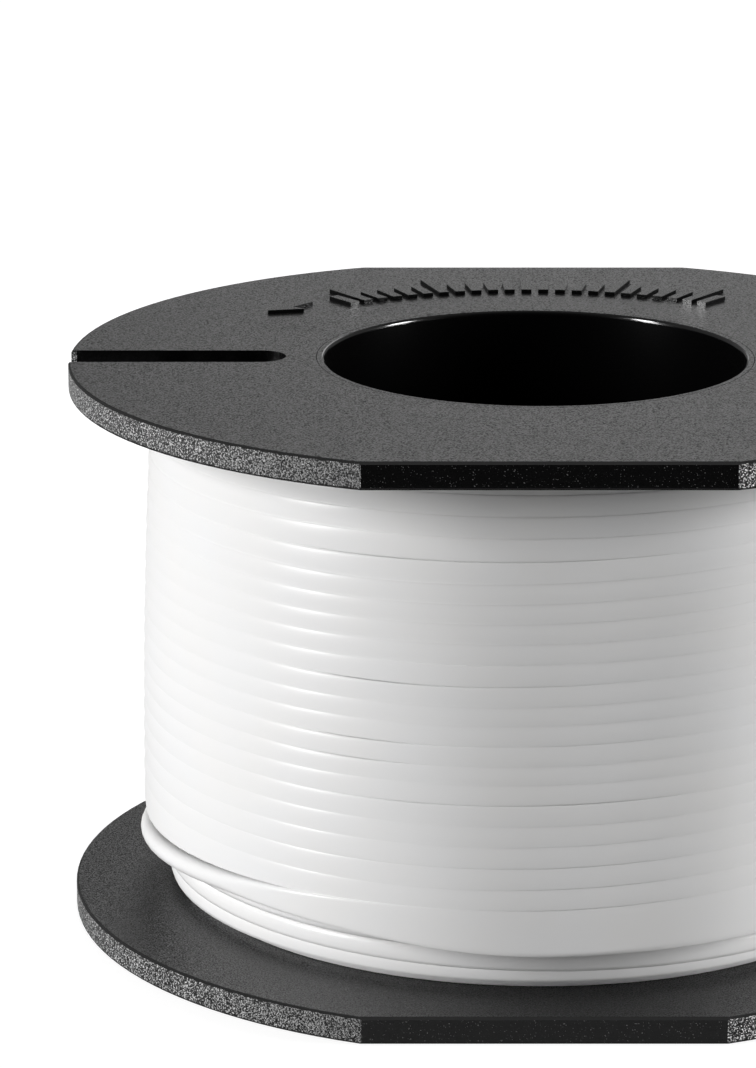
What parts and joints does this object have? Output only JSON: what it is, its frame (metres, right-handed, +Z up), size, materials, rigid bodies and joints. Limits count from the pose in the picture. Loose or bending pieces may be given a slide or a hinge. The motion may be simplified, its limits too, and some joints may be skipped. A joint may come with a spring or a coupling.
{
  "type": "monofilament line spool",
  "caption": "Black two-flange moulded spool with parallel flats, line slots and a through bore, wound full of milky white monofilament line.",
  "frame": {"origin": "centre of the lower flange's underside, on the bore's axis", "axes": "+Z up along the bore, flats facing -Y and +Y, upper flange's slot on the -X side"},
  "size_m": [0.07, 0.065, 0.0429],
  "materials": {
    "spool_plastic": "near-black moulded plastic with a fine spark-eroded grain",
    "line_nylon": "smooth milky translucent white nylon"
  },
  "bodies": {
    "root": {"barrel": "spool_plastic", "upper_flange": "spool_plastic", "lower_flange": "spool_plastic", "line_core": "line_nylon", "line_outer_turns": "line_nylon"}
  },
  "joints": []
}
